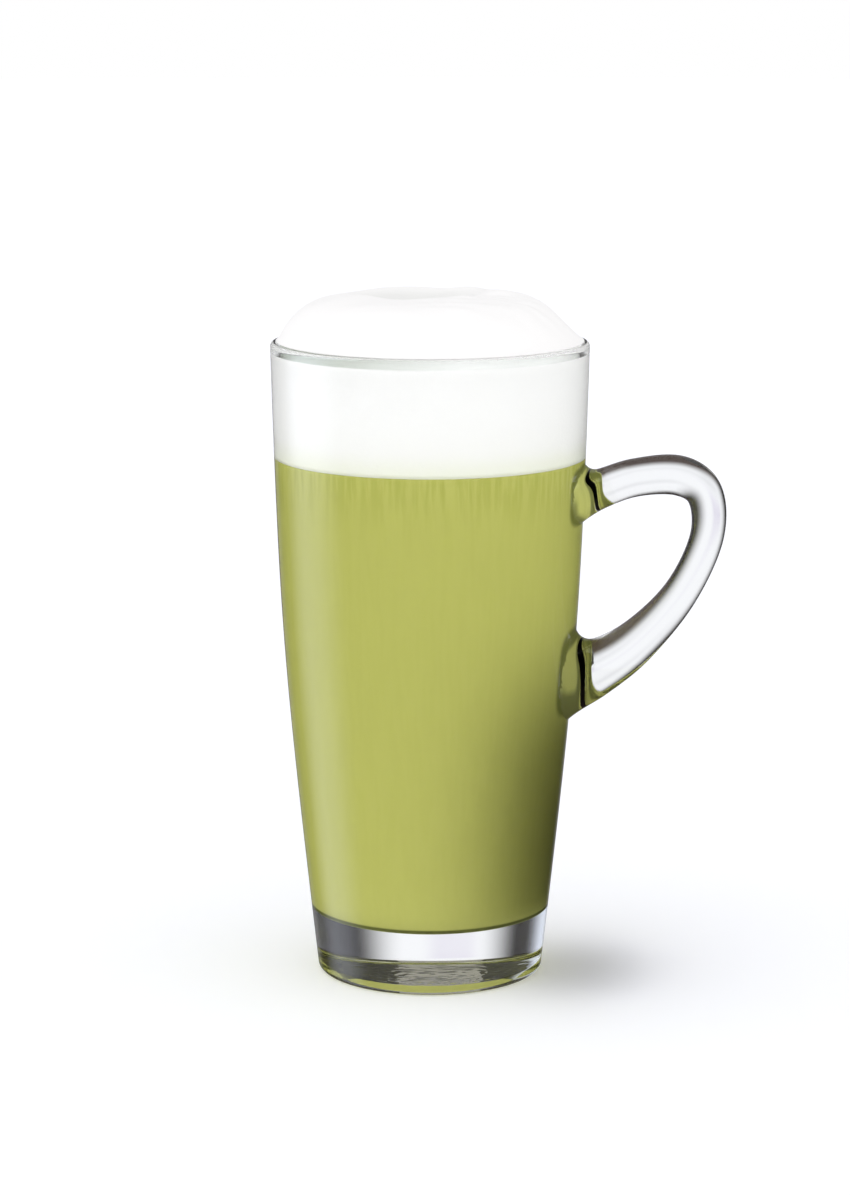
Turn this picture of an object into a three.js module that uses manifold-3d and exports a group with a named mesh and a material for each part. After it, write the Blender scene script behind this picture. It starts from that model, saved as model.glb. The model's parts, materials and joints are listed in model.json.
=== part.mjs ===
// An iced matcha: a tall clear glass mug with one handle, the green drink in it, and a domed
// cap of milk foam that stands above the rim.
//
// Millimetres, +Z up. The origin is the middle of the mug's flat base, and +X points to the
// handle. The mug with its handle is one solid, and the drink and the foam are one solid each.

import * as THREE from "three";
import { mergeVertices } from "three/addons/utils/BufferGeometryUtils.js";
import Module from "manifold-3d";

const wasm = await Module();
wasm.setup();

// Mug: height, rim and wall
const MUG_HEIGHT = 145.6;
const RIM_RADIUS = 36;
const RIM_WALL = 1.9;
const FLOOR_WALL = 3;

// Mug: the wall leans little above its bend and more below it
const UPPER_SLOPE = 0.0174;
const LOWER_SLOPE = 0.1173;
const BEND_HEIGHT = 78.4;
const BEND_LENGTH = 40.3;

// Mug: thick clear base
const BASE_CORNER = 1.6;
const FLOOR_HEIGHT = 14;
const FLOOR_FILLET = 6;

// Handle: x and z of the middle of the bar, with half of its thickness, from the upper foot to
// the lower one. The first and last stations lie inside the mug.
const HANDLE_STATIONS = [
  [29, 108.8, 6.3],
  [38.2, 112.6, 4.5],
  [46.8, 115.6, 4.3],
  [56.6, 116.2, 4.5],
  [62.4, 112, 4.1],
  [62.8, 102, 3.8],
  [56.8, 88.9, 4],
  [46.8, 77.6, 5.1],
  [37.2, 71.3, 6.8],
  [28, 68.4, 9.8],
];
const HANDLE_HALF_WIDTH = 5.4;
// Fillet of the feet: its radius as a share of the bar, how deep it starts in the wall, and the
// part of it that the open corner under each foot keeps
const FOOT_SHARE = 0.72;
const FOOT_SINK = 0.3;
const FOOT_UNDERSIDE = 0.1;
// Flare of the feet to both sides, and how far from the wall it begins
const FOOT_FLARE = 5;
const FLARE_REACH = 5;

// Contents: levels, and the gap that keeps touching solids apart
const DRINK_LEVEL = 119.5;
const GAP = 0.3;

// Foam: cap above the rim
const FOAM_EDGE_HEIGHT = 145.2;
const DOME_RISE = 10.7;
const DOME_FULLNESS = 6.8;
const HANDLE_SIDE_SLUMP = 0.8;
const SKIRT_RISE = 3.4;
const SKIRT_WIDTH = 3.6;
const SKIRT_NARROWING = 3;
const DIMPLE = { x: -3.5, y: 6, halfLength: 14, halfWidth: 11.5, depth: 1.4 };
const DIMPLE_STEEPNESS = 3;
const PEAK = { x: 13.4, y: 7, radius: 4, rise: 1.1 };

// How far the cutting solid runs past the rim, and how near two vertices count as one
const CUT_OVERRUN = 1;
const MERGE_DISTANCE = 1e-4;

// Fineness of the faceted solids
const ROUND_SEGMENTS = 56;
const WALL_STEPS = 12;
const FOAM_WALL_STEPS = 3;
const ARC_STEPS = 4;
const LIP_STEPS = 6;
const HANDLE_SIDES = 16;
const HANDLE_RINGS = 38;
const FOAM_RINGS = 14;

const UP = new THREE.Vector3(0, 0, 1);

const COLOURS = {
  glass: "#e9f0ee",
  matcha: "#b4b663",
  foam: "#f8f7f7",
};

// Smooth step from 0 below zero to a straight rise above it, over the length of the bend
function ramp(distance) {
  return (distance + Math.sqrt(distance ** 2 + BEND_LENGTH ** 2)) / 2;
}

function outerRadius(z) {
  const bend = ramp(BEND_HEIGHT - z) - ramp(BEND_HEIGHT - MUG_HEIGHT);
  return RIM_RADIUS - UPPER_SLOPE * (MUG_HEIGHT - z) - (LOWER_SLOPE - UPPER_SLOPE) * bend;
}

function innerRadius(z) {
  return outerRadius(z) - THREE.MathUtils.lerp(FLOOR_WALL, RIM_WALL, z / MUG_HEIGHT);
}

function wallPoints(radiusAt, from, to, steps = WALL_STEPS) {
  const points = [];
  for (let step = 0; step <= steps; step += 1) {
    const z = THREE.MathUtils.lerp(from, to, step / steps);
    points.push(new THREE.Vector2(radiusAt(z), z));
  }
  return points;
}

function arcPoints(centreX, centreY, radius, from, to, steps) {
  const points = [];
  for (let step = 0; step <= steps; step += 1) {
    const angle = THREE.MathUtils.degToRad(THREE.MathUtils.lerp(from, to, step / steps));
    const x = centreX + radius * Math.cos(angle);
    const y = centreY + radius * Math.sin(angle);
    points.push(new THREE.Vector2(x, y));
  }
  return points;
}

// A profile from the axis out and back to the axis, turned about +Z
function turned(profile) {
  const geometry = new THREE.LatheGeometry(profile, ROUND_SEGMENTS);
  return geometry.rotateX(Math.PI / 2);
}

// One closed body: shared vertices merged, and faces without area left out
function toSolid(geometry) {
  geometry.deleteAttribute("normal");
  geometry.deleteAttribute("uv");
  const merged = mergeVertices(geometry, MERGE_DISTANCE);
  const index = merged.index.array;
  const faces = [];
  for (let i = 0; i < index.length; i += 3) {
    const [a, b, c] = index.subarray(i, i + 3);
    if (a !== b && b !== c && c !== a) {
      faces.push(a, b, c);
    }
  }
  const vertProperties = new Float32Array(merged.attributes.position.array);
  const triVerts = new Uint32Array(faces);
  return new wasm.Manifold(new wasm.Mesh({ numProp: 3, vertProperties, triVerts }));
}

function toGeometry(solid) {
  const mesh = solid.getMesh();
  const geometry = new THREE.BufferGeometry();
  geometry.setAttribute("position", new THREE.BufferAttribute(mesh.vertProperties, 3));
  geometry.setIndex(new THREE.BufferAttribute(mesh.triVerts, 1));
  geometry.computeVertexNormals();
  return geometry;
}

// The mug's outside up to the middle of its round lip, as one full solid
function mugOutside() {
  const lip = RIM_WALL / 2;
  const shoulder = MUG_HEIGHT - lip;
  const cornerX = outerRadius(BASE_CORNER) - BASE_CORNER;
  return turned([
    new THREE.Vector2(0, 0),
    ...arcPoints(cornerX, BASE_CORNER, BASE_CORNER, -90, 0, ARC_STEPS),
    ...wallPoints(outerRadius, BASE_CORNER, shoulder).slice(1),
    ...arcPoints(outerRadius(shoulder) - lip, shoulder, lip, 0, 90, LIP_STEPS / 2).slice(1),
    new THREE.Vector2(0, MUG_HEIGHT),
  ]);
}

// The hollow, rounded at the floor and opening over the inner half of the lip
function mugHollow() {
  const lip = RIM_WALL / 2;
  const shoulder = MUG_HEIGHT - lip;
  const filletTop = FLOOR_HEIGHT + FLOOR_FILLET;
  const filletX = innerRadius(filletTop) - FLOOR_FILLET;
  const lipX = outerRadius(shoulder) - lip;
  return turned([
    new THREE.Vector2(0, FLOOR_HEIGHT),
    ...arcPoints(filletX, filletTop, FLOOR_FILLET, -90, 0, ARC_STEPS),
    ...wallPoints(innerRadius, filletTop, shoulder).slice(1, -1),
    ...arcPoints(lipX, shoulder, lip, 180, 90, LIP_STEPS / 2),
    new THREE.Vector2(lipX, MUG_HEIGHT + CUT_OVERRUN),
    new THREE.Vector2(0, MUG_HEIGHT + CUT_OVERRUN),
  ]);
}

// How far the bar swells at a place that lies clear of the wall by the given distance: a round
// fillet whose first part is lost in the wall
function footSwell(clearance, radius) {
  const rise = Math.min(Math.max(clearance, 0) + FOOT_SINK, radius);
  return radius - Math.sqrt(2 * radius * rise - rise ** 2);
}

// The handle's bar: a closed cylinder whose rings are carried along the route through the
// stations. Its rings crowd towards the feet, where the bar swells into the wall.
function handleBar() {
  const route = new THREE.CatmullRomCurve3(
    HANDLE_STATIONS.map(([x, z]) => new THREE.Vector3(x, 0, z)),
    false,
    "catmullrom",
  );
  const thickness = new THREE.SplineCurve(
    HANDLE_STATIONS.map(([, , half], station) => new THREE.Vector2(station, half)),
  );
  const geometry = new THREE.CylinderGeometry(1, 1, 1, HANDLE_SIDES, HANDLE_RINGS);
  const position = geometry.attributes.position;
  const vertex = new THREE.Vector3();
  for (let i = 0; i < position.count; i += 1) {
    vertex.fromBufferAttribute(position, i);
    const along = 0.5 - 0.5 * Math.cos(Math.PI * (vertex.y + 0.5));
    const tangent = route.getTangent(along);
    const across = new THREE.Vector3(-tangent.z, 0, tangent.x);
    const inPlane = across.clone().multiplyScalar(vertex.x);
    const sideways = new THREE.Vector3(0, vertex.z, 0);
    const upDown = inPlane.z > 0 ? inPlane.z : FOOT_UNDERSIDE * inPlane.z;
    const halfThickness = thickness.getPoint(along).y;
    const place = route.getPoint(along);
    place.addScaledVector(inPlane, halfThickness);
    place.addScaledVector(sideways, HANDLE_HALF_WIDTH);
    const clearance = Math.hypot(place.x, place.y) - outerRadius(place.z);
    place.z += upDown * footSwell(clearance, FOOT_SHARE * halfThickness);
    const flare = FOOT_FLARE * (1 - THREE.MathUtils.smoothstep(clearance, 0, FLARE_REACH));
    place.applyAxisAngle(UP, vertex.z * flare / Math.hypot(place.x, place.y));
    position.setXYZ(i, place.x, place.y, place.z);
  }
  return geometry;
}

function makeMug() {
  const outside = toSolid(mugOutside());
  const handle = toSolid(handleBar());
  const hollow = toSolid(mugHollow());
  return toGeometry(outside.add(handle).subtract(hollow));
}

function makeDrink() {
  const filletTop = FLOOR_HEIGHT + FLOOR_FILLET;
  const filletX = innerRadius(filletTop) - FLOOR_FILLET;
  const clearRadius = (z) => innerRadius(z) - GAP;
  return toGeometry(toSolid(turned([
    new THREE.Vector2(0, FLOOR_HEIGHT + GAP),
    ...arcPoints(filletX, filletTop, FLOOR_FILLET - GAP, -90, 0, ARC_STEPS),
    ...wallPoints(clearRadius, filletTop, DRINK_LEVEL - GAP / 2).slice(1),
    new THREE.Vector2(0, DRINK_LEVEL - GAP / 2),
  ])));
}

// Height of the foam above its edge: a full dome that slumps on the handle's side, with a low
// skirt there, a shallow hollow on top and a small folded peak beside it
function foamRise(x, y, edgeRadius) {
  const radius = Math.hypot(x, y);
  const reach = Math.min(radius / edgeRadius, 1);
  const handleSide = radius > 0 ? (1 + x / radius) / 2 : 0;
  const dome = DOME_RISE * (1 - reach ** DOME_FULLNESS) ** (1 + HANDLE_SIDE_SLUMP * handleSide);
  const inFromEdge = Math.min((edgeRadius - radius) / SKIRT_WIDTH, 1);
  const skirt = SKIRT_RISE * handleSide ** SKIRT_NARROWING * Math.max(inFromEdge, 0);
  const dimpleX = (x - DIMPLE.x) / DIMPLE.halfLength;
  const dimpleY = (y - DIMPLE.y) / DIMPLE.halfWidth;
  const dimpleReach = dimpleX ** 2 + dimpleY ** 2;
  const dimple = DIMPLE.depth * Math.exp(-(dimpleReach ** DIMPLE_STEEPNESS));
  const peakReach = Math.hypot(x - PEAK.x, y - PEAK.y) / PEAK.radius;
  const peak = PEAK.rise * Math.exp(-(peakReach ** 2));
  return Math.max(dome, skirt) - dimple + peak;
}

function makeFoam() {
  const edgeRadius = innerRadius(FOAM_EDGE_HEIGHT) - GAP;
  const clearRadius = (z) => innerRadius(z) - GAP;
  const wall = wallPoints(clearRadius, DRINK_LEVEL + GAP / 2, FOAM_EDGE_HEIGHT, FOAM_WALL_STEPS);
  const crown = [];
  for (let ring = 1; ring <= FOAM_RINGS; ring += 1) {
    const reach = Math.sqrt(1 - ring / FOAM_RINGS);
    crown.push(new THREE.Vector2(edgeRadius * reach, FOAM_EDGE_HEIGHT));
  }
  const geometry = turned([
    new THREE.Vector2(0, DRINK_LEVEL + GAP / 2),
    ...wall,
    ...crown,
  ]);
  const position = geometry.attributes.position;
  for (let i = 0; i < position.count; i += 1) {
    if (position.getZ(i) > FOAM_EDGE_HEIGHT - MERGE_DISTANCE) {
      const rise = foamRise(position.getX(i), position.getY(i), edgeRadius);
      position.setZ(i, FOAM_EDGE_HEIGHT + rise);
    }
  }
  return toGeometry(toSolid(geometry));
}

function piece(name, geometry, material) {
  const mesh = new THREE.Mesh(geometry, material);
  mesh.name = name;
  return mesh;
}

function glassMaterial() {
  return new THREE.MeshStandardMaterial({
    color: COLOURS.glass,
    roughness: 0.03,
    metalness: 0,
    transparent: true,
    opacity: 0.35,
  });
}

function matchaMaterial() {
  return new THREE.MeshStandardMaterial({
    color: COLOURS.matcha,
    roughness: 0.35,
    metalness: 0,
  });
}

function foamMaterial() {
  return new THREE.MeshStandardMaterial({
    color: COLOURS.foam,
    roughness: 0.8,
    metalness: 0,
  });
}

const icedMatcha = new THREE.Group();
icedMatcha.add(piece("glass_mug", makeMug(), glassMaterial()));
icedMatcha.add(piece("matcha_drink", makeDrink(), matchaMaterial()));
icedMatcha.add(piece("milk_foam", makeFoam(), foamMaterial()));

export default icedMatcha;
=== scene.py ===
"""An iced matcha: clear pressed glass mug, milky green drink and a domed cap of milk foam.

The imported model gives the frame: metres, +Z up, the origin in the middle of the mug's flat base
and +X towards the handle. Each piece here replaces the solid of the same form.
"""

import json
import math

import bpy
import numpy as np
from bpy.props import FloatProperty, FloatVectorProperty, PointerProperty
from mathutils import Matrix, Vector

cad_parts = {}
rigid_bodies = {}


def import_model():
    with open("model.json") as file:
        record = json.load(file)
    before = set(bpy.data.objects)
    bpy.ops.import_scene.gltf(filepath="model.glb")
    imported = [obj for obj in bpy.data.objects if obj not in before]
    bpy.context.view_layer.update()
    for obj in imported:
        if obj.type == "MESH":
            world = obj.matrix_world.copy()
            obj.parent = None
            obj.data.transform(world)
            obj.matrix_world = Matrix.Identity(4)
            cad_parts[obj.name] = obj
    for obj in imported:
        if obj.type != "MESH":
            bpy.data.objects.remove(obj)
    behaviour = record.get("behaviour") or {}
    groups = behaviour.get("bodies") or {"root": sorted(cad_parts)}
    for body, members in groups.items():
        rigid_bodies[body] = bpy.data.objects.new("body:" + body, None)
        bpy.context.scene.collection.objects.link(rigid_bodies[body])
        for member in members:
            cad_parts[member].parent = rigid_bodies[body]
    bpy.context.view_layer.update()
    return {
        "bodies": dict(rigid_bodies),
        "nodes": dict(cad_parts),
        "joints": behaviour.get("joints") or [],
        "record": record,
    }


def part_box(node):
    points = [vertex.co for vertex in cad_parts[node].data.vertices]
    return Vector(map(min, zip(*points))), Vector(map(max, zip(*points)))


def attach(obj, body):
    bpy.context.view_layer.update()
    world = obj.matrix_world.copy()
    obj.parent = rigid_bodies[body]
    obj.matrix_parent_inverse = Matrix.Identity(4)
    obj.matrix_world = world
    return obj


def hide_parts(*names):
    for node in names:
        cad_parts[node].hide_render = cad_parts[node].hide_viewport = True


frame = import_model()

bl_info = {
    "name": "Iced Matcha",
    "version": (1, 0, 0),
    "blender": (4, 5, 0),
    "location": "3D View > Sidebar > Iced Matcha",
    "description": "A glass mug of iced matcha under milk foam, with its studio",
    "category": "Add Mesh",
}

MM = 0.001

MUG_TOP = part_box("glass_mug")[1].z

# Wall of the mug: it leans little above its bend and more below it
UPPER_SLOPE = 0.0174
LOWER_SLOPE = 0.1173
BEND_HEIGHT = 78.4 * MM
BEND_LENGTH = 40.3 * MM

# Handle: x and z of the middle of the bar and half of its thickness, in millimetres, from the
# upper foot to the lower one. The first and last stations lie inside the mug.
HANDLE_STATIONS = (
    (29.0, 108.8, 6.3),
    (38.2, 112.6, 4.5),
    (46.8, 115.6, 4.3),
    (56.6, 116.2, 4.5),
    (62.4, 112.0, 4.1),
    (62.8, 102.0, 3.8),
    (56.8, 88.9, 4.0),
    (46.8, 77.6, 5.1),
    (37.2, 71.3, 6.8),
    (28.0, 68.4, 9.8),
)

# Frame of painted shade round each foot: its middle height, half height and half width, in
# millimetres
FOOT_FRAMES = ((111.6, 7.0, 9.6), (71.2, 10.4, 9.8))

# Share of the fillet that the bar grows by above each foot, in the sharp corner, and below it
FOOT_SHARE_ABOVE = 1.0
FOOT_SHARE_BELOW = 0.1

# Rings of the mould on the underside: distance, waver and length of the waver
RING_DISTANCE = 2 * MM
RING_WAVER = 0.6 * MM
WAVER_LENGTH = 5 * MM

# How far the contents reach into the glass, so that no air shows between them
BITE = 0.15 * MM

# Upright streaks in the drink: how often they change along x, y and z, in turns per metre, and
# how far below the foam they fade
STREAKS = (700, 700, 60)
STREAK_DEPTH = 14 * MM

# Painted shade on the drink: share and heights over the floor of the painted dark line along it,
# and share and soft edge of the painted shade frames round the feet, whose inner and outer edges are
# parts of their size
FLOOR_LINE_PAINTED_SHADE = 0.85
LINE_LOW, LINE_HIGH, LINE_SOFT = 0.1 * MM, 1.2 * MM, 0.3 * MM
FRAME_PAINTED_SHADE = 0.7
FRAME_INNER, FRAME_OUTER, FRAME_SOFT = 0.4, 0.96, 0.12

# Top of the foam: the oval hollow, the folded peak, the skirt on the handle's side, and the
# height and length of the soft lumps and of the finer ridges
HOLLOW_X, HOLLOW_Y = -3.5 * MM, 6 * MM
HOLLOW_REACH_X, HOLLOW_REACH_Y = 14 * MM, 11.5 * MM
HOLLOW_DEPTH = 1.6 * MM
PEAK_X, PEAK_Y = 13.4 * MM, 7 * MM
PEAK_RADIUS = 4 * MM
PEAK_RISE = 1.1 * MM
SKIRT_RISE = 3.4 * MM
SKIRT_WIDTH = 3.6 * MM
LUMP_RISE, LUMP_LENGTH = 0.25 * MM, 16 * MM
RIDGE_RISE, RIDGE_LENGTH = 0.14 * MM, 9 * MM

# Painted shade on the foam: on the axis beside the lip, how far it takes to change by one whole
# along x, growing towards -x, its least value there, and its value in the hollow
LIP_PAINTED_SHADE = 0.38
PAINTED_SHADE_REACH = 36 * MM
LEAST_PAINTED_SHADE = 0.05
HOLLOW_PAINTED_SHADE = 0.22

# Grain of the foam: bubbles of 0.2 mm are too fine to show, so it is drawn at 0.7 mm
GRAIN_LENGTH = 0.7 * MM
GRAIN_RISE = 0.15 * MM

# Camera of the photograph: place, aim and focal length
CAMERA_DISTANCE = 828 * MM
CAMERA_HEIGHT = 246.7 * MM
CAMERA_AZIMUTH = math.radians(8)
CAMERA_PITCH = math.radians(10.93)
CAMERA_TURN = math.radians(0.078)
FOCAL_PIXELS = 3696
PICTURE_HEIGHT = 1195
SENSOR = 36


def srgb(hex_colour):
    """Linear RGBA of an sRGB hex value."""
    channels = [int(hex_colour[i:i + 2], 16) / 255 for i in (1, 3, 5)]
    linear = [c / 12.92 if c <= 0.04045 else ((c + 0.055) / 1.055) ** 2.4 for c in channels]
    return (*linear, 1.0)


class MugSizes(bpy.types.PropertyGroup):
    """Sizes of the glass mug and its handle."""

    height: FloatProperty(
        name="Height", description="Height of the mug over its rim",
        default=MUG_TOP, unit="LENGTH",
    )
    rim_radius: FloatProperty(
        name="Rim radius", description="Outer radius of the mug at its rim",
        default=36 * MM, unit="LENGTH",
    )
    rim_wall: FloatProperty(
        name="Rim wall", description="Thickness of the glass at the rim",
        default=1.9 * MM, unit="LENGTH",
    )
    floor_wall: FloatProperty(
        name="Lower wall", description="Thickness of the glass wall at the base",
        default=3 * MM, unit="LENGTH",
    )
    floor_height: FloatProperty(
        name="Floor height", description="Thickness of the clear base under the drink",
        default=14 * MM, unit="LENGTH",
    )
    floor_fillet: FloatProperty(
        name="Floor fillet", description="Radius between the floor and the wall inside",
        default=6 * MM, unit="LENGTH",
    )
    base_corner: FloatProperty(
        name="Base corner", description="Radius of the outer edge of the base",
        default=1.6 * MM, unit="LENGTH",
    )
    recess: FloatProperty(
        name="Recess", description="Rise of the underside from its outer edge to its middle",
        default=1.2 * MM, unit="LENGTH",
    )
    recess_radius: FloatProperty(
        name="Recess radius", description="Radius of the rippled middle of the underside",
        default=17 * MM, unit="LENGTH",
    )
    ripple: FloatProperty(
        name="Ripple", description="Height of the ripples pressed into the underside",
        default=0.04 * MM, unit="LENGTH",
    )
    handle_half_width: FloatProperty(
        name="Handle half width", description="Half of the handle's width across the bar",
        default=5.4 * MM, unit="LENGTH",
    )
    foot_share: FloatProperty(
        name="Foot share", description="Fillet above and below the foot, of the bar's thickness",
        default=0.72, subtype="FACTOR", min=0, max=1,
    )
    foot_flare: FloatProperty(
        name="Foot flare", description="How far the foot spreads sideways on the wall",
        default=5 * MM, unit="LENGTH",
    )
    flare_reach: FloatProperty(
        name="Flare reach", description="Distance from the wall at which the flare begins",
        default=5 * MM, unit="LENGTH",
    )
    foot_sink: FloatProperty(
        name="Foot sink", description="Part of the foot's fillet that is lost in the wall",
        default=0.3 * MM, unit="LENGTH",
    )


class DrinkLook(bpy.types.PropertyGroup):
    """Level and colours of the matcha drink."""

    level: FloatProperty(
        name="Level", description="Height at which the drink meets the foam",
        default=119.5 * MM, unit="LENGTH",
    )
    colour: FloatVectorProperty(
        name="Matcha", description="Colour of the milky matcha",
        default=srgb("#c3c46e"), size=4, subtype="COLOR", min=0, max=1,
    )
    deep_colour: FloatVectorProperty(
        name="Settled matcha", description="Colour where more of the powder has settled",
        default=srgb("#b4b65c"), size=4, subtype="COLOR", min=0, max=1,
    )
    # Painted shade: the drink is darkened towards this colour along the floor and round the handle's
    # feet
    painted_shade_tint: FloatVectorProperty(
        name="Shade", description="Colour along the floor and round the handle's feet",
        default=srgb("#4a5122"), size=4, subtype="COLOR", min=0, max=1,
    )


class FoamLook(bpy.types.PropertyGroup):
    """Shape and colours of the milk foam."""

    edge_height: FloatProperty(
        name="Edge height", description="Height at which the foam leaves the glass",
        default=143.2 * MM, unit="LENGTH",
    )
    lip_gap: FloatProperty(
        name="Lip gap", description="Air between the foam and the lip of the glass",
        default=0.3 * MM, unit="LENGTH",
    )
    cap_height: FloatProperty(
        name="Cap height", description="Height at which the cap begins",
        default=145.9 * MM, unit="LENGTH",
    )
    cap_radius: FloatProperty(
        name="Cap radius", description="Radius of the cap where it rests on the lip",
        default=34.7 * MM, unit="LENGTH",
    )
    dome_rise: FloatProperty(
        name="Dome rise", description="Rise of the cap over its edge",
        default=10.2 * MM, unit="LENGTH",
    )
    colour: FloatVectorProperty(
        name="Foam", description="Colour of the milk foam",
        default=srgb("#fbfafa"), size=4, subtype="COLOR", min=0, max=1,
    )
    stained_colour: FloatVectorProperty(
        name="Stained foam", description="Colour of the foam just above the drink",
        default=srgb("#f8f9f0"), size=4, subtype="COLOR", min=0, max=1,
    )
    stain_height: FloatProperty(
        name="Stain height", description="Height over the drink up to which the foam is stained",
        default=6 * MM, unit="LENGTH",
    )
    # Painted shade: the foam is greyed towards this colour beside the lip, more on the -x side, and
    # in the hollow on top
    foam_painted_shade_colour: FloatVectorProperty(
        name="Painted foam shade", description="Colour of the painted shade on the foam under the lip and in the hollow",
        default=srgb("#c6cac2"), size=4, subtype="COLOR", min=0, max=1,
    )


class StudioLook(bpy.types.PropertyGroup):
    """Light and floor of the studio."""

    floor_radius: FloatProperty(
        name="Floor radius", description="Radius of the pale floor",
        default=4, unit="LENGTH",
    )
    floor_colour: FloatVectorProperty(
        name="Floor", description="Colour of the floor",
        default=srgb("#f3f4fa"), size=4, subtype="COLOR", min=0, max=1,
    )


def ramp(distance):
    """Zero far below 0 and the distance itself far above it, with a smooth bend between."""
    return (distance + np.sqrt(distance ** 2 + BEND_LENGTH ** 2)) / 2


def outer_radius(z, mug):
    """Rim radius less a straight lean, less a second lean that sets in below the bend."""
    bend = ramp(BEND_HEIGHT - z) - ramp(BEND_HEIGHT - mug.height)
    return mug.rim_radius - UPPER_SLOPE * (mug.height - z) - (LOWER_SLOPE - UPPER_SLOPE) * bend


def inner_radius(z, mug):
    """Outer radius less a wall that thickens evenly from the rim down."""
    return outer_radius(z, mug) - mug.floor_wall - (mug.rim_wall - mug.floor_wall) * z / mug.height


def arc(centre_x, centre_z, radius, start, end, steps):
    """Points of a circle's arc, from the start angle to the end angle in degrees."""
    angle = np.radians(np.linspace(start, end, steps + 1))
    return np.stack([centre_x + radius * np.cos(angle), centre_z + radius * np.sin(angle)], axis=1)


def wall_line(radius_at, low, high, steps, mug):
    """Points of a wall's profile at even heights."""
    z = np.linspace(low, high, steps + 1)
    return np.stack([radius_at(z, mug), z], axis=1)


def level_line(inside, outside, z, steps):
    """Points of a level profile from one radius to another."""
    return np.stack([np.linspace(inside, outside, steps + 1), np.full(steps + 1, z)], axis=1)


def turn(profile, segments):
    """A profile that starts and ends on the axis, turned about +Z: point (r, z) goes to
    (r cos a, r sin a, z) at each angle a. Both end points are single vertices."""
    angle = np.linspace(0, 2 * np.pi, segments, endpoint=False)
    rings = profile[1:-1]
    x = rings[:, :1] * np.cos(angle)
    y = rings[:, :1] * np.sin(angle)
    z = np.repeat(rings[:, 1:], segments, axis=1)
    grid = np.stack([x, y, z], axis=2).reshape(-1, 3)
    poles = np.array([[0, 0, profile[0, 1]], [0, 0, profile[-1, 1]]])
    return np.concatenate([grid, poles]), ring_faces(len(rings), segments)


def ring_faces(rings, segments):
    """Quads between neighbouring rings, and a fan of triangles from each pole to its ring."""
    column = np.arange(segments)
    beside = (column + 1) % segments
    row = np.arange(rings - 1)[:, None] * segments
    quads = np.stack(
        [row + column, row + beside, row + segments + beside, row + segments + column], axis=2
    ).reshape(-1, 4)
    first_pole = rings * segments
    last_row = (rings - 1) * segments
    first_fan = np.stack([beside, column, np.full(segments, first_pole)], axis=1)
    last_fan = np.stack(
        [last_row + column, last_row + beside, np.full(segments, first_pole + 1)], axis=1
    )
    return [quads, first_fan, last_fan]


def spline(points, along):
    """Catmull-Rom spline through the points: each span is the cubic that leaves and meets its
    end points along the line between their neighbours. along runs from 0 to 1."""
    spans = len(points) - 1
    ends = [2 * points[:1] - points[1:2], points, 2 * points[-1:] - points[-2:-1]]
    knots = np.concatenate(ends)
    place = np.clip(along * spans, 0, spans - 1e-9)
    span = place.astype(int)
    t = (place - span)[:, None]
    before, start, end, after = (knots[span + k] for k in range(4))
    linear = (end - before) * t
    square = (2 * before - 5 * start + 4 * end - after) * t ** 2
    cube = (3 * start - before - 3 * end + after) * t ** 3
    return start + (linear + square + cube) / 2


def foot_swell(clearance, radius, sink):
    """How far the bar swells at a given distance from the wall: a round fillet of the given
    radius, whose first part is lost in the wall."""
    rise = np.clip(np.maximum(clearance, 0) + sink, 0, radius)
    return radius - np.sqrt(2 * radius * rise - rise ** 2)


def handle_bar(mug, rings, sides):
    """The handle: an ellipse carried along the spline through the stations, square to it, which
    swells along the wall at both feet. Rings crowd towards the feet."""
    stations = np.array(HANDLE_STATIONS) * MM
    share = np.linspace(0, 1, rings)
    along = 0.5 - 0.5 * np.cos(np.pi * share)
    middle = spline(stations, along)
    step = 1e-4
    tangent = spline(stations, along + step)[:, :2] - spline(stations, along - step)[:, :2]
    tangent /= np.linalg.norm(tangent, axis=1)[:, None]
    angle = np.linspace(0, 2 * np.pi, sides, endpoint=False)
    across = np.cos(angle)[None, :]
    sideways = np.sin(angle)[None, :]
    x = middle[:, :1] - tangent[:, 1:] * across * middle[:, 2:]
    z = middle[:, 1:2] + tangent[:, :1] * across * middle[:, 2:]
    y = sideways * mug.handle_half_width * np.ones_like(x)
    clearance = np.hypot(x, y) - outer_radius(z, mug)
    swell = foot_swell(clearance, mug.foot_share * middle[:, 2:], mug.foot_sink)
    # The sharp corner above each foot holds more glass than the open one below it
    upward = tangent[:, :1] * across
    z += upward * swell * np.where(upward > 0, FOOT_SHARE_ABOVE, FOOT_SHARE_BELOW)
    # Sideways the foot spreads along the round wall, in an S from the bar to a steep edge
    distance = np.hypot(x, y)
    inward = np.clip(1 - clearance / mug.flare_reach, 0, 1)
    flare = mug.foot_flare * inward ** 2 * (3 - 2 * inward)
    turned = np.arctan2(y, x) + sideways * flare / distance
    x = distance * np.cos(turned)
    y = distance * np.sin(turned)
    grid = np.stack([x, y, z], axis=2)
    poles = grid[[0, -1]].mean(axis=1)
    return np.concatenate([grid.reshape(-1, 3), poles]), ring_faces(rings, sides)


def new_mesh(name, vertices, faces):
    """A mesh object at the origin from vertices and lists of faces with three or four corners."""
    mesh = bpy.data.meshes.new(name)
    corners = np.concatenate([part.ravel() for part in faces])
    counts = np.concatenate([np.full(len(part), part.shape[1]) for part in faces])
    starts = np.concatenate([[0], np.cumsum(counts)[:-1]])
    mesh.vertices.add(len(vertices))
    mesh.loops.add(len(corners))
    mesh.polygons.add(len(counts))
    mesh.vertices.foreach_set("co", vertices.astype(np.float32).ravel())
    mesh.loops.foreach_set("vertex_index", corners.astype(np.int32))
    mesh.polygons.foreach_set("loop_start", starts.astype(np.int32))
    mesh.update(calc_edges=True)
    mesh.validate()
    mesh.polygons.foreach_set("use_smooth", np.ones(len(mesh.polygons), bool))
    made = bpy.data.objects.new(name, mesh)
    bpy.context.scene.collection.objects.link(made)
    return made


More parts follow.
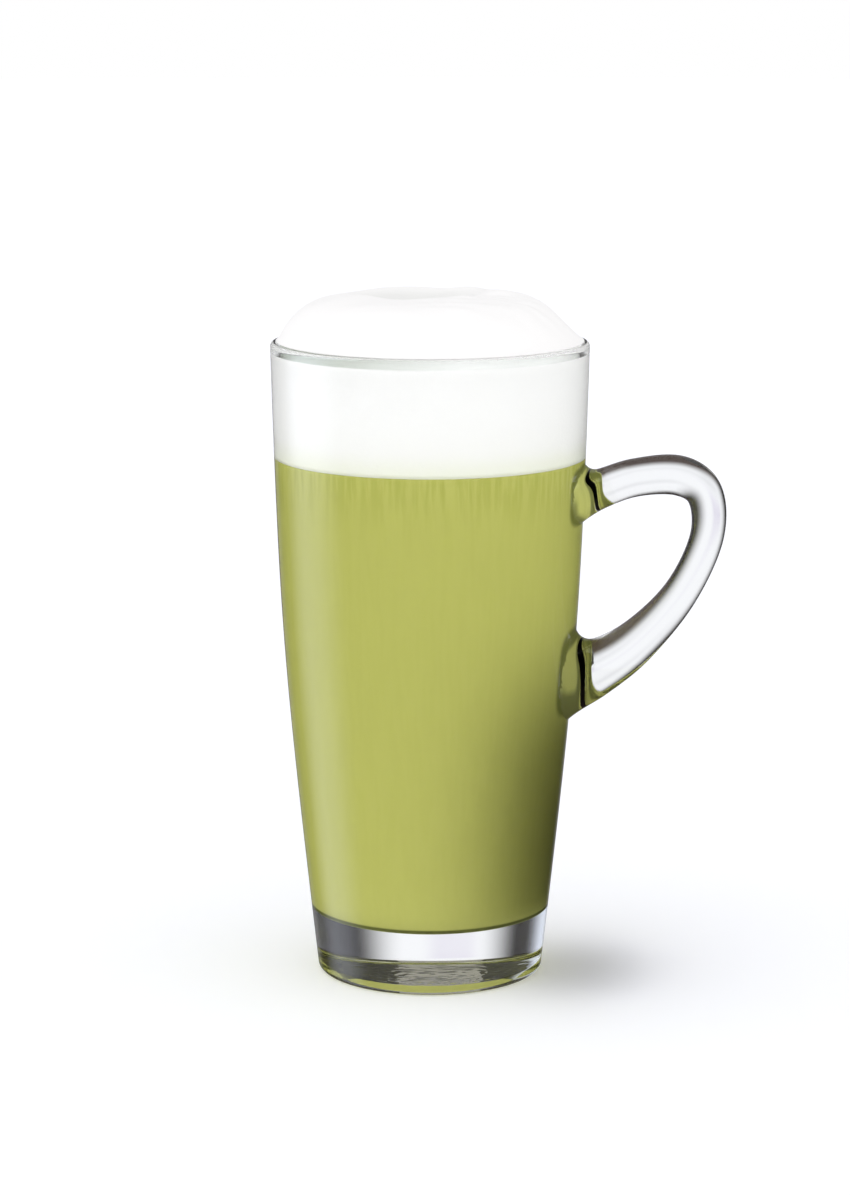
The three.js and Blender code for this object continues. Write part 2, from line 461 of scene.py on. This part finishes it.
def outward(made):
    """Turns every face outwards when the closed surface holds a negative volume."""
    mesh = made.data
    mesh.calc_loop_triangles()
    points = np.empty(len(mesh.vertices) * 3)
    mesh.vertices.foreach_get("co", points)
    points = points.reshape(-1, 3)
    corners = np.empty(len(mesh.loop_triangles) * 3, int)
    mesh.loop_triangles.foreach_get("vertices", corners)
    a, b, c = (points[corners[k::3]] for k in range(3))
    if np.einsum("ij,ij->", a, np.cross(b, c)) < 0:
        mesh.flip_normals()
    return made


def set_values(made, name, values):
    """Stores one number at each vertex, for a material to read."""
    attribute = made.data.attributes.new(name, "FLOAT", "POINT")
    attribute.data.foreach_set("value", values.astype(np.float32))


def cut(target, tool, operation):
    """Joins the tool to the target or cuts it away, and removes the tool."""
    modifier = target.modifiers.new(operation.lower(), "BOOLEAN")
    modifier.operation = operation
    modifier.solver = "MANIFOLD"
    modifier.object = tool
    bpy.context.view_layer.objects.active = target
    bpy.ops.object.modifier_apply(modifier=modifier.name)
    bpy.data.objects.remove(tool)


def soft_noise(x, y, size, seed, waves=24):
    """Smooth uneven relief between about -1 and 1: a sum of plane waves of nearly one length
    with drawn directions and phases."""
    draw = np.random.default_rng(seed)
    heading = draw.uniform(0, 2 * np.pi, waves)
    length = size * draw.uniform(0.7, 1.5, waves)
    phase = draw.uniform(0, 2 * np.pi, waves)
    total = np.zeros_like(x)
    for turned, spacing, shift in zip(heading, length, phase):
        total += np.cos(2 * np.pi * (x * np.cos(turned) + y * np.sin(turned)) / spacing + shift)
    return total / math.sqrt(waves)


def underside_ripples(vertices, mug):
    """Relief of the mug's underside: wavering rings, as the mould leaves them, with finer
    unevenness. It fades out over the last 1 mm of the recess, and the rest of the glass stays as
    it is."""
    x, y, z = vertices.T
    radius = np.hypot(x, y)
    inside = np.clip((mug.recess_radius - radius) / (1 * MM), 0, 1)
    low = z < mug.recess + 0.01 * MM
    waver = RING_WAVER * soft_noise(x, y, WAVER_LENGTH, seed=11)
    rings = np.sin(2 * np.pi * (radius + waver) / RING_DISTANCE)
    uneven = 0.6 * soft_noise(x, y, WAVER_LENGTH / 2, seed=12)
    return mug.ripple * (rings + uneven) * inside * low


def node(tree, kind, settings=None, inputs=None):
    """Adds a shader node, sets its properties, and gives each named input a value or a link."""
    added = tree.nodes.new(kind)
    for key, value in (settings or {}).items():
        setattr(added, key, value)
    for key, value in (inputs or {}).items():
        if isinstance(value, bpy.types.NodeSocket):
            tree.links.new(value, added.inputs[key])
        else:
            added.inputs[key].default_value = value
    return added


def calculate(tree, operation, *values):
    """Result of a math node with the given values or links."""
    return node(tree, "ShaderNodeMath", {"operation": operation}, dict(enumerate(values))).outputs[0]


def fade(tree, value, low, high, start=0.0, end=1.0):
    """The value mapped smoothly: start up to low, end from high on."""
    return node(tree, "ShaderNodeMapRange", {"interpolation_type": "SMOOTHSTEP"}, {
        "Value": value, "From Min": low, "From Max": high, "To Min": start, "To Max": end,
    }).outputs["Result"]


def blend(tree, share, first, second):
    """The first colour, turned into the second by the share."""
    return node(tree, "ShaderNodeMix", {"data_type": "RGBA"}, {
        "Factor": share, 6: first, 7: second,
    }).outputs[2]


def scale(tree, colour, amount):
    """The colour times the amount."""
    return node(tree, "ShaderNodeVectorMath", {"operation": "SCALE"}, {
        0: colour, "Scale": amount,
    }).outputs[0]


def noise(tree, place, frequency, roughness):
    """Fractal noise of three octaves over the first, between 0 and 1."""
    return node(tree, "ShaderNodeTexNoise", inputs={
        "Vector": place, "Scale": frequency, "Detail": 3.0, "Roughness": roughness,
    }).outputs["Fac"]


def attribute(tree, name):
    """The number that set_values has stored in the mesh under this name."""
    return node(tree, "ShaderNodeAttribute", {"attribute_name": name}).outputs["Fac"]


def object_place(tree):
    """Place in the object's own frame, and its height."""
    place = node(tree, "ShaderNodeTexCoord").outputs["Object"]
    return place, node(tree, "ShaderNodeSeparateXYZ", inputs={"Vector": place}).outputs["Z"]


def new_material(name):
    """A node material whose tree is still empty, and the tree."""
    material = bpy.data.materials.new(name)
    material.use_nodes = True
    material.node_tree.nodes.clear()
    return material, material.node_tree


def finish_material(tree, shader):
    """Shows the shader on the surface."""
    node(tree, "ShaderNodeOutputMaterial", inputs={"Surface": shader.outputs[0]})


def pressed_glass():
    """Soda-lime glass, pressed and fire polished: IOR 1.52, quite smooth, and clear with a faint
    cool tint that only thick glass such as the base shows."""
    material, tree = new_material("pressed_soda_lime_glass")
    shader = node(tree, "ShaderNodeBsdfPrincipled", inputs={
        "Base Color": srgb("#fbfdfc"),
        "Roughness": 0.0,
        "IOR": 1.52,
        "Transmission Weight": 1.0,
    })
    finish_material(tree, shader)
    return material


def milky_matcha(drink):
    """Matcha whisked into cold milk: an opaque suspension, so matt in colour, with faint upright
    streaks where foam drains into it. Painted shade darkens it by the attribute shade."""
    material, tree = new_material("milky_matcha_suspension")
    place, height = object_place(tree)
    streak_place = node(tree, "ShaderNodeMapping", inputs={
        "Vector": place, "Scale": STREAKS,
    }).outputs["Vector"]
    streaks = fade(tree, noise(tree, streak_place, 1.0, 0.55), 0.38, 0.62)
    near_foam = fade(tree, height, drink.level - STREAK_DEPTH, drink.level, 0.12, 0.8)
    share = calculate(tree, "MULTIPLY", streaks, near_foam)
    streaked = blend(tree, share, tuple(drink.colour), tuple(drink.deep_colour))
    # Painted shade along the floor and round the handle's feet
    shade = attribute(tree, "shade")
    shader = node(tree, "ShaderNodeBsdfPrincipled", inputs={
        "Base Color": blend(tree, shade, streaked, tuple(drink.painted_shade_tint)),
        "Roughness": 0.5,
        "IOR": 1.34,
        "Specular IOR Level": 0.1,
    })
    finish_material(tree, shader)
    return material


def milk_foam_skin(foam, drink):
    """Steamed milk foam: bubbles far finer than the eye resolves scatter nearly all light, so it
    is matt white. It takes up a little green where it lies on the drink, and painted shade greys
    it beside the lip and in the hollow, by a value stored at each vertex."""
    material, tree = new_material("fine_milk_foam")
    place, height = object_place(tree)
    stained = fade(tree, height, drink.level, drink.level + foam.stain_height, 1.0, 0.0)
    unshaded_foam = blend(tree, stained, tuple(foam.colour), tuple(foam.stained_colour))
    # Painted shade beside the lip and in the hollow
    painted_foam_shade = attribute(tree, "painted_foam_shade")
    grain = noise(tree, place, 1 / GRAIN_LENGTH, 0.6)
    bump = node(tree, "ShaderNodeBump", inputs={
        "Height": grain, "Strength": 0.4, "Distance": GRAIN_RISE,
    }).outputs["Normal"]
    shader = node(tree, "ShaderNodeBsdfPrincipled", inputs={
        "Base Color": blend(tree, painted_foam_shade, unshaded_foam, tuple(foam.foam_painted_shade_colour)),
        "Roughness": 0.75,
        "IOR": 1.34,
        "Specular IOR Level": 0.2,
        "Normal": bump,
    })
    finish_material(tree, shader)
    return material


class MATCHA_OT_glass_mug(bpy.types.Operator):
    """Makes the clear glass mug with its handle as one body"""

    bl_idname = "matcha.glass_mug"
    bl_label = "Glass mug"

    def execute(self, context):
        mug = context.scene.matcha_mug
        lip = mug.rim_wall / 2
        shoulder = mug.height - lip
        lip_x = outer_radius(shoulder, mug) - lip
        corner_x = outer_radius(mug.base_corner, mug) - mug.base_corner
        middle = level_line(0, mug.recess_radius, mug.recess, steps=56)
        slope = np.linspace(middle[-1], [corner_x, 0], 12)
        outside = np.concatenate([
            middle,
            slope[1:-1],
            arc(corner_x, mug.base_corner, mug.base_corner, -90, 0, steps=10),
            wall_line(outer_radius, mug.base_corner, shoulder, 90, mug)[1:],
            arc(lip_x, shoulder, lip, 0, 90, steps=10)[1:],
            [[0, mug.height]],
        ])
        fillet_top = mug.floor_height + mug.floor_fillet
        fillet_x = inner_radius(fillet_top, mug) - mug.floor_fillet
        hollow = np.concatenate([
            level_line(0, fillet_x, mug.floor_height, steps=10)[:-1],
            arc(fillet_x, fillet_top, mug.floor_fillet, -90, 0, steps=20),
            wall_line(inner_radius, fillet_top, shoulder, 80, mug)[1:-1],
            arc(lip_x, shoulder, lip, 180, 90, steps=10),
            # the cut goes on for 2 mm over the rim
            [[lip_x, mug.height + 2 * MM], [0, mug.height + 2 * MM]],
        ])
        segments = 224
        vertices, faces = turn(outside, segments)
        vertices[:, 2] += underside_ripples(vertices, mug)
        glass = outward(new_mesh("glass_mug_body", vertices, faces))
        handle = outward(new_mesh("handle_bar", *handle_bar(mug, rings=220, sides=56)))
        inside = outward(new_mesh("mug_hollow", *turn(hollow, segments)))
        cut(glass, handle, "UNION")
        cut(glass, inside, "DIFFERENCE")
        glass.data.polygons.foreach_set("use_smooth", np.ones(len(glass.data.polygons), bool))
        glass.data.materials.clear()
        glass.data.materials.append(pressed_glass())
        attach(glass, "root")
        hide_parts("glass_mug")
        return {"FINISHED"}


def window(value, low, high, soft):
    """One between low and high and zero outside, with straight edges of the soft width."""
    return np.clip(np.minimum(value - low, high - value) / soft + 0.5, 0, 1)


def painted_shade_of_drink(vertices, mug):
    """Painted shade on the drink: a dark line along the rounded edge of the floor, and a rounded
    frame round each foot of the handle, whose glass leads the light away."""
    x, y, z = vertices.T
    sideways = np.arctan2(y, x) * np.hypot(x, y)
    shade = FLOOR_LINE_PAINTED_SHADE * window(z - mug.floor_height, LINE_LOW, LINE_HIGH, LINE_SOFT)
    for middle, half_height, half_width in FOOT_FRAMES:
        up = np.abs(z / MM - middle) / half_height
        frame = (up ** 4 + np.abs(sideways / MM / half_width) ** 4) ** 0.25
        framed = window(frame, FRAME_INNER, FRAME_OUTER, FRAME_SOFT)
        shade = np.maximum(shade, FRAME_PAINTED_SHADE * framed)
    return shade


class MATCHA_OT_drink(bpy.types.Operator):
    """Makes the matcha drink, which reaches just into the glass"""

    bl_idname = "matcha.drink"
    bl_label = "Matcha drink"

    def execute(self, context):
        mug = context.scene.matcha_mug
        drink = context.scene.matcha_drink
        fillet_top = mug.floor_height + mug.floor_fillet
        fillet_x = inner_radius(fillet_top, mug) - mug.floor_fillet
        wall = wall_line(inner_radius, fillet_top, drink.level, 200, mug)
        wall[:, 0] += BITE
        profile = np.concatenate([
            level_line(0, fillet_x, mug.floor_height - BITE, steps=8)[:-1],
            arc(fillet_x, fillet_top, mug.floor_fillet + BITE, -90, 0, steps=20),
            wall[1:],
            [[0, drink.level]],
        ])
        vertices, faces = turn(profile, segments=360)
        body = outward(new_mesh("matcha_drink_body", vertices, faces))
        # Painted shade along the floor and round the handle's feet, stored at each vertex
        set_values(body, "shade", painted_shade_of_drink(vertices, mug))
        body.data.materials.append(milky_matcha(drink))
        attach(body, "root")
        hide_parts("matcha_drink")
        return {"FINISHED"}


def foam_hollow(x, y):
    """Share of the shallow oval hollow on top of the cap, with a steep rim."""
    return np.exp(-np.hypot((x - HOLLOW_X) / HOLLOW_REACH_X, (y - HOLLOW_Y) / HOLLOW_REACH_Y) ** 6)


def foam_rise(x, y, edge, foam):
    """Height of the foam over its edge: a full dome that slumps on the handle's side, with a low
    skirt there, a hollow on top with a steep near side, a small folded peak and soft lumps."""
    radius = np.hypot(x, y)
    reach = np.clip(radius / edge, 0, 1)
    handle_side = (1 + x / np.maximum(radius, 1e-9)) / 2
    dome = foam.dome_rise * (1 - reach ** 6.8) ** (1 + 0.8 * handle_side)
    skirt = SKIRT_RISE * handle_side ** 3 * np.clip((edge - radius) / SKIRT_WIDTH, 0, 1)
    hollow = HOLLOW_DEPTH * foam_hollow(x, y)
    peak = PEAK_RISE * np.exp(-((x - PEAK_X) ** 2 + (y - PEAK_Y) ** 2) / PEAK_RADIUS ** 2)
    ridges = RIDGE_RISE * soft_noise(x, y * 2, RIDGE_LENGTH, seed=9) * handle_side
    lumps = LUMP_RISE * soft_noise(x, y, LUMP_LENGTH, seed=4)
    top = np.clip(1 - reach ** 8, 0, 1)
    return np.maximum(dome, skirt) + (peak - hollow + lumps + ridges) * top


class MATCHA_OT_foam(bpy.types.Operator):
    """Makes the milk foam from the drink's level to the top of its cap"""

    bl_idname = "matcha.foam"
    bl_label = "Milk foam"

    def execute(self, context):
        mug = context.scene.matcha_mug
        drink = context.scene.matcha_drink
        foam = context.scene.matcha_foam
        wall = wall_line(inner_radius, drink.level, foam.edge_height, 24, mug)
        wall[:, 0] += BITE
        free = inner_radius(mug.height, mug) - foam.lip_gap
        crown_rings = 110
        reach = 1 - np.linspace(0, 1, crown_rings + 1)[:-1] ** 1.3
        crown = np.stack([foam.cap_radius * reach, np.full(len(reach), foam.cap_height)], axis=1)
        profile = np.concatenate([
            [[0, drink.level]],
            level_line(wall[0, 0] / 2, wall[0, 0], drink.level, steps=2)[:-1],
            wall,
            [[free + 0.1 * MM, foam.edge_height + 0.3 * MM], [free, foam.edge_height + 0.8 * MM]],
            [[free, mug.height - 0.4 * MM], [free + 0.2 * MM, mug.height]],
            crown,
            [[0, foam.cap_height]],
        ])
        vertices, faces = turn(profile, segments=224)
        x, y, z = vertices.T
        radius = np.hypot(x, y)
        # The cap rounds over on the lip before it follows the dome
        round_over = np.clip((foam.cap_radius - radius) / (0.9 * MM), 0, 1)
        dome_radius = foam.cap_radius - 0.3 * MM
        rise = foam_rise(x, y, dome_radius, foam) * np.sqrt(1 - (1 - round_over) ** 2)
        crown_part = z > foam.cap_height - 1e-7
        beside_lip = (z > foam.edge_height + 0.1 * MM) & ~crown_part
        # Painted shade on the foam: grey beside the lip, more towards -x, and in the hollow on top
        painted_foam_shade = np.clip(LIP_PAINTED_SHADE - x / PAINTED_SHADE_REACH, LEAST_PAINTED_SHADE, 1) * beside_lip
        painted_foam_shade += HOLLOW_PAINTED_SHADE * foam_hollow(x, y) * crown_part
        vertices[:, 2] += rise * crown_part
        cap = outward(new_mesh("milk_foam_cap", vertices, faces))
        set_values(cap, "painted_foam_shade", painted_foam_shade)
        cap.data.materials.append(milk_foam_skin(foam, drink))
        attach(cap, "root")
        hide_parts("milk_foam")
        return {"FINISHED"}


def light_window(tree, azimuth, elevation, middle, half, edges, colour, strength):
    """A softbox of the studio as a part of the sky: full between its edges in azimuth and
    elevation, which are given in degrees by middle and half sizes, and fading over its edges."""
    shares = []
    for angle, at, size, edge in zip((azimuth, elevation), middle, half, edges):
        off = calculate(tree, "SUBTRACT", angle, math.radians(at))
        around = calculate(tree, "WRAP", off, -math.pi, math.pi)
        inner, outer = math.radians(size - edge), math.radians(size + edge)
        shares.append(fade(tree, calculate(tree, "ABSOLUTE", around), inner, outer, 1.0, 0.0))
    share = calculate(tree, "MULTIPLY", *shares)
    return scale(tree, srgb(colour)[:3], calculate(tree, "MULTIPLY", share, strength))


# The studio round the mug, seen from the mug: azimuth from the camera's line of sight to the
# right and elevation of the middle, half sizes and soft edges of both, in degrees, colour and
# strength. The first set is what clear glass mirrors and bends, and the second is the softened
# light that falls on matt surfaces. The white walls behind the mug and behind the camera have
# two strengths, for light through the glass and for their mirror image on it.
WALL_STRENGTH = 1.03
BACK_WALL = ((-4, 2), (23, 30), (11, 8), "#fbfbff")
BACK_WALL_MIRRORED = 0.25
FRONT_WALL = ((180, 2), (48, 30), (11, 8), "#fbfbff")
FRONT_WALL_MIRRORED = 0.0
MIRRORED_WINDOWS = (
    # tall softbox on the left
    ((-80, 2), (20, 60), (16, 10), "#e8eeff", 1.6),
    # overhead softbox, over the mug and towards the camera
    ((180, 62), (75, 14), (12, 6), "#ffffff", 0.9),
    # two faint grey seams across the white wall, which the handle draws out into streaks
    ((-3.5, -19), (13, 3), (9, 4), "#ffffff", -0.16),
    ((-3.5, 6), (13, 3), (9, 4), "#ffffff", -0.13),
    # a lilac seam lower on it, which the clear base shows
    ((-8, -11), (8, 2), (4, 3), "#ecffd0", -0.22),
)
ROOM_COLOUR = "#211d1b"
GROUND_COLOUR = "#4c403a"
# Elevations between which the ground turns into the room
HORIZON = (-33, -24)
FILL_WINDOWS = (
    # bounce from the front
    ((165, 0), (92, 60), (25, 25), "#ffffff", 0.24),
    # softbox on the left
    ((-95, 45), (45, 35), (15, 15), "#f8faff", 0.25),
    # little light from under the drink and from straight above
    ((0, -90), (180, 45), (15, 15), "#ffffff", -0.45),
    ((0, 90), (180, 35), (20, 20), "#ffffff", -0.03),
)
FILL_COLOUR = "#f0f0f0"
# Light that has to pass the glass wall is raised to make up for what it loses between the wall
# and the milky surface behind it
GLASS_GAIN = 1.8

# Flags round the base, which the camera doesn't see: distance from the mug's axis and height
# along the profile, azimuths from the camera's line of sight, and colour. The first shades the
# drink at the lower right, the second softens the light on the floor there, and the last two,
# one behind the other, are what the thick base mirrors.
TALL_FLAG = (((27, 0.3), (52, 0.3), (52, 70)), (30, 150), "#36352f")
LOW_FLAG = (((29, 15), (49, 15)), (66, 130), "#0c0b0a")
BACK_FLAG = (((80, 4), (80, 40)), (-11, 6), "#a4a19b")
SIDE_FLAG = (((84, 4), (84, 48)), (-36, 30), "#474645")


def studio_light(tree, azimuth, elevation, ground, room, windows):
    """Colour of the studio in one direction: ground below, room above and the windows added."""
    over_ground = fade(tree, elevation, *np.radians(HORIZON).tolist())
    light = blend(tree, over_ground, srgb(ground), srgb(room))
    for panel in windows:
        light = node(tree, "ShaderNodeVectorMath", {"operation": "ADD"}, {
            0: light, 1: light_window(tree, azimuth, elevation, *panel),
        }).outputs[0]
    return light


def before_matt(tree):
    """One on a path of light that has met no matt surface yet, and zero on the others."""
    path = node(tree, "ShaderNodeLightPath").outputs
    return calculate(tree, "LESS_THAN", path["Diffuse Depth"], 0.5)


def studio_sky():
    """The world. The camera sees white. Clear glass shows the softboxes, a dim room and a dark
    ground, which give it its dark edges. Matt surfaces get the even fill light."""
    world = bpy.data.worlds.new("studio_sky")
    world.use_nodes = True
    tree = world.node_tree
    tree.nodes.clear()
    direction = node(tree, "ShaderNodeTexCoord").outputs["Generated"]
    turned = node(tree, "ShaderNodeMapping", {"vector_type": "POINT"}, {
        "Vector": direction, "Rotation": (0, 0, -CAMERA_AZIMUTH),
    }).outputs["Vector"]
    parts = node(tree, "ShaderNodeSeparateXYZ", inputs={"Vector": turned}).outputs
    azimuth = calculate(tree, "ARCTAN2", parts["X"], parts["Y"])
    elevation = calculate(tree, "ARCSINE", parts["Z"])
    angles = (azimuth, elevation)
    path = node(tree, "ShaderNodeLightPath").outputs
    # Both walls are bright through the glass, and their mirror images on the outside are faint
    walls = [
        (*wall, node(tree, "ShaderNodeMapRange", inputs={
            "Value": path["Is Reflection Ray"], "To Min": WALL_STRENGTH, "To Max": mirrored_light,
        }).outputs["Result"])
        for wall, mirrored_light in (
            (BACK_WALL, BACK_WALL_MIRRORED), (FRONT_WALL, FRONT_WALL_MIRRORED),
        )
    ]
    windows = (*MIRRORED_WINDOWS, *walls)
    mirrored = studio_light(tree, *angles, GROUND_COLOUR, ROOM_COLOUR, windows)
    fill = studio_light(tree, *angles, FILL_COLOUR, FILL_COLOUR, FILL_WINDOWS)
    glossy = calculate(tree, "MAXIMUM", path["Is Glossy Ray"], path["Is Transmission Ray"])
    sharp = calculate(tree, "MAXIMUM", glossy, path["Is Singular Ray"])
    seen_in_glass = calculate(tree, "MULTIPLY", sharp, before_matt(tree))
    gain = calculate(tree, "MULTIPLY_ADD", sharp, GLASS_GAIN - 1, 1.0)
    light = blend(tree, seen_in_glass, scale(tree, fill, gain), mirrored)
    shown = blend(tree, path["Is Camera Ray"], light, (1, 1, 1, 1))
    background = node(tree, "ShaderNodeBackground", inputs={"Color": shown})
    node(tree, "ShaderNodeOutputWorld", inputs={"Surface": background.outputs[0]})
    bpy.context.scene.world = world


def floor_paint(look):
    """Matt white sweep, lifted a little towards pure white as the photograph's ground is."""
    material, tree = new_material("matt_white_sweep")
    shader = node(tree, "ShaderNodeBsdfPrincipled", inputs={
        "Base Color": tuple(look.floor_colour),
        "Roughness": 0.9,
        "Specular IOR Level": 0.0,
        "Emission Color": (1, 1, 1, 1),
        "Emission Strength": 0.16,
    })
    finish_material(tree, shader)
    return material


def show_to(made, kinds):
    """Lets only the named kinds of ray meet the object."""
    for kind in ("camera", "diffuse", "glossy", "transmission", "volume_scatter", "shadow"):
        setattr(made, "visible_" + kind, kind in kinds)


def studio_flag(name, profile, azimuths, colour, seen_by, only_matt=False):
    """A sheet of dark cloth: a profile of distances and heights in millimetres, swept about the
    mug's axis between two azimuths. Only the named kinds of ray meet it, and where only_matt is
    set, only light on its way to a matt surface."""
    steps = 24
    line = np.array(profile) * MM
    angle = np.radians(np.linspace(*azimuths, steps + 1)) - CAMERA_AZIMUTH
    x = line[:, :1] * np.sin(angle)
    y = line[:, :1] * np.cos(angle)
    z = np.repeat(line[:, 1:], steps + 1, axis=1)
    grid = np.arange(z.size).reshape(z.shape)
    quads = np.stack([grid[:-1, :-1], grid[:-1, 1:], grid[1:, 1:], grid[1:, :-1]], axis=2)
    flag = new_mesh(name, np.stack([x, y, z], axis=2).reshape(-1, 3), [quads.reshape(-1, 4)])
    material, tree = new_material(name + "_felt")
    cloth = node(tree, "ShaderNodeBsdfDiffuse", inputs={"Color": srgb(colour)})
    if only_matt:
        cloth = node(tree, "ShaderNodeMixShader", inputs={
            0: before_matt(tree), 1: cloth.outputs[0],
            2: node(tree, "ShaderNodeBsdfTransparent").outputs[0],
        })
    finish_material(tree, cloth)
    flag.data.materials.append(material)
    show_to(flag, seen_by)


class MATCHA_OT_studio(bpy.types.Operator):
    """Makes the pale floor, the studio's light and the camera of the photograph"""

    bl_idname = "matcha.studio"
    bl_label = "Studio"

    def execute(self, context):
        look = context.scene.matcha_studio
        profile = np.array([
            [0, 0], [look.floor_radius, 0], [look.floor_radius, -1 * MM], [0, -1 * MM],
        ])
        floor = outward(new_mesh("pale_floor", *turn(profile, segments=96)))
        floor.data.polygons.foreach_set("use_smooth", np.zeros(len(floor.data.polygons), bool))
        floor.data.materials.append(floor_paint(look))
        # Only the camera sees the floor: the glass mirrors and bends the studio's dark ground
        show_to(floor, ("camera", "volume_scatter"))
        studio_flag("tall_flag", *TALL_FLAG, seen_by=("transmission",), only_matt=True)
        studio_flag("low_flag", *LOW_FLAG, seen_by=("diffuse", "shadow"))
        studio_flag("back_flag", *BACK_FLAG, seen_by=("transmission",))
        studio_flag("side_flag", *SIDE_FLAG, seen_by=("transmission",))
        studio_sky()
        lens = bpy.data.cameras.new("photo_camera")
        lens.sensor_width = SENSOR
        lens.lens = FOCAL_PIXELS * SENSOR / PICTURE_HEIGHT
        lens.clip_start = 0.05
        lens.clip_end = 20
        camera = bpy.data.objects.new("photo_camera", lens)
        camera.location = Vector((
            CAMERA_DISTANCE * math.sin(CAMERA_AZIMUTH),
            -CAMERA_DISTANCE * math.cos(CAMERA_AZIMUTH),
            CAMERA_HEIGHT,
        ))
        camera.rotation_euler = (
            math.pi / 2 - CAMERA_PITCH, 0, CAMERA_AZIMUTH + CAMERA_TURN,
        )
        context.scene.collection.objects.link(camera)
        context.scene.camera = camera
        context.scene.view_settings.view_transform = "Standard"
        return {"FINISHED"}


class MATCHA_PT_panel(bpy.types.Panel):
    """Lists the makers of the iced matcha in the 3D view's sidebar"""

    bl_label = "Iced Matcha"
    bl_space_type = "VIEW_3D"
    bl_region_type = "UI"
    bl_category = "Iced Matcha"

    def draw(self, context):
        for group in ("matcha_mug", "matcha_drink", "matcha_foam", "matcha_studio"):
            settings = getattr(context.scene, group)
            box = self.layout.box()
            for name in settings.__annotations__:
                box.prop(settings, name)
        for operator in OPERATORS:
            self.layout.operator(operator.bl_idname)


GROUPS = {
    "matcha_mug": MugSizes,
    "matcha_drink": DrinkLook,
    "matcha_foam": FoamLook,
    "matcha_studio": StudioLook,
}
OPERATORS = (MATCHA_OT_glass_mug, MATCHA_OT_drink, MATCHA_OT_foam, MATCHA_OT_studio)


def register():
    for cls in (*GROUPS.values(), *OPERATORS, MATCHA_PT_panel):
        bpy.utils.register_class(cls)
    for name, group in GROUPS.items():
        setattr(bpy.types.Scene, name, PointerProperty(type=group))


def unregister():
    for name in GROUPS:
        delattr(bpy.types.Scene, name)
    for cls in (MATCHA_PT_panel, *reversed(OPERATORS), *reversed(GROUPS.values())):
        bpy.utils.unregister_class(cls)


def main():
    register()
    bpy.ops.matcha.glass_mug()
    bpy.ops.matcha.drink()
    bpy.ops.matcha.foam()
    bpy.ops.matcha.studio()


if __name__ == "__main__":
    main()
